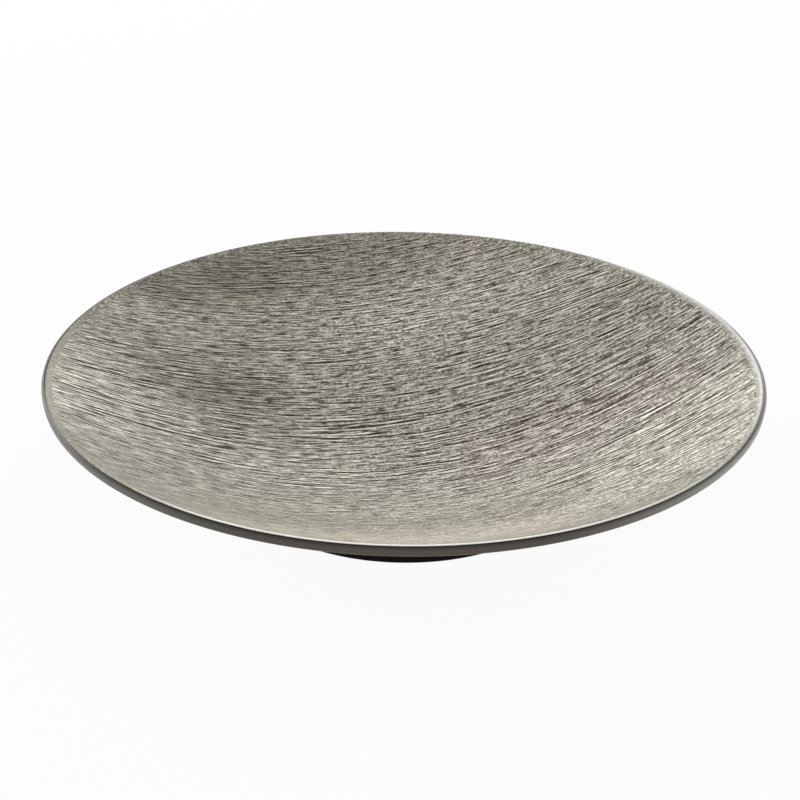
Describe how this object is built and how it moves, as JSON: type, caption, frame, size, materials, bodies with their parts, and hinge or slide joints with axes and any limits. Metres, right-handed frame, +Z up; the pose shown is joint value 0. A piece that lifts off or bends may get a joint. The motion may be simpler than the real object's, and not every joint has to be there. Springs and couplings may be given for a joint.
{
  "type": "deep plate",
  "caption": "Round deep coupe plate of stoneware with a brushed metallic face, a plain rounded edge and a dark foot ring, for serving soup, pasta or salad.",
  "frame": {"origin": "on the plate's axis, level with the sole of the foot ring", "axes": "+Z up along the plate's axis; X and Y in the plane of the table, and the brush strokes on the face head about 16 degrees from +X towards +Y"},
  "size_m": [0.26, 0.26, 0.047],
  "materials": {
    "stoneware": "matte",
    "brushed_silver_glaze": "satin",
    "plain_silver_glaze": "satin",
    "dark_glaze": "satin",
    "dark_clay": "matte"
  },
  "bodies": {
    "root": {"stoneware_dish": "stoneware", "brushed_face_coat": "brushed_silver_glaze", "rim_edge_coat": "plain_silver_glaze", "underside_coat": "dark_glaze", "foot_well_coat": "dark_glaze", "foot_ring": "dark_clay"}
  },
  "joints": []
}
